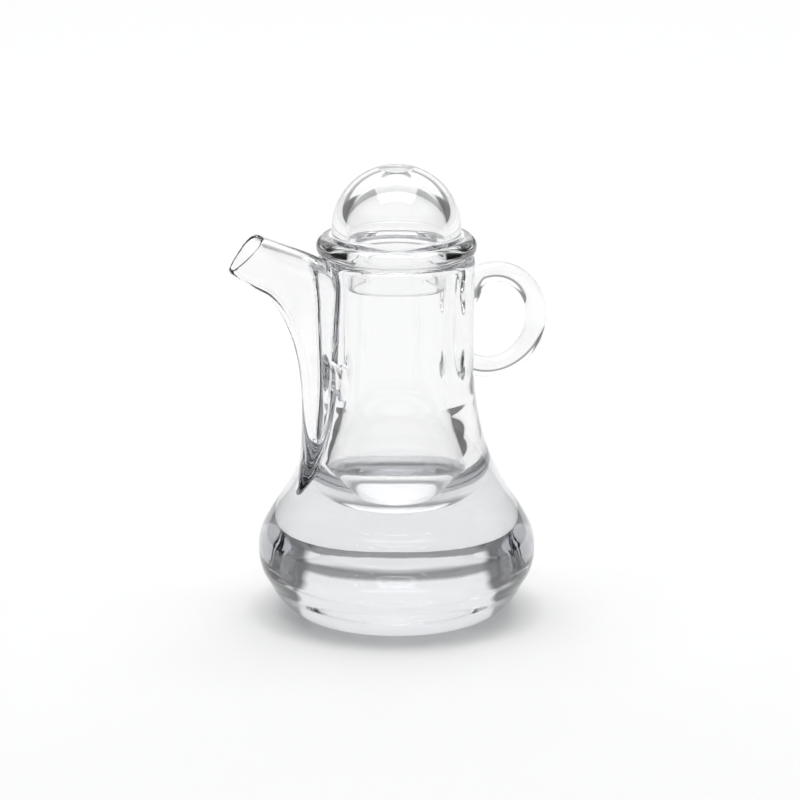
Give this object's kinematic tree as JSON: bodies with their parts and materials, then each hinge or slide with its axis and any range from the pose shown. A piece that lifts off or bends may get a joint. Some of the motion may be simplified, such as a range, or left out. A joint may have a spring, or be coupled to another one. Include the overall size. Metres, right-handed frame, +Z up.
{
  "type": "lidded cruet",
  "caption": "Heavy clear glass table cruet: bell-shaped body, hollow beak spout, ring handle and a loose domed lid that sits in the neck.",
  "frame": {"origin": "on the body's turning axis, in the plane of the flat foot it rests on", "axes": "+Z up along the turning axis; the spout points towards -X and a little to -Y, the ring handle the opposite way"},
  "size_m": [0.098, 0.086, 0.141],
  "materials": {
    "body_glass": "clear, fire polished",
    "lid_glass": "clear, fire polished"
  },
  "bodies": {
    "root": {"cruet_body": "body_glass", "cruet_lid": "lid_glass"}
  },
  "joints": []
}
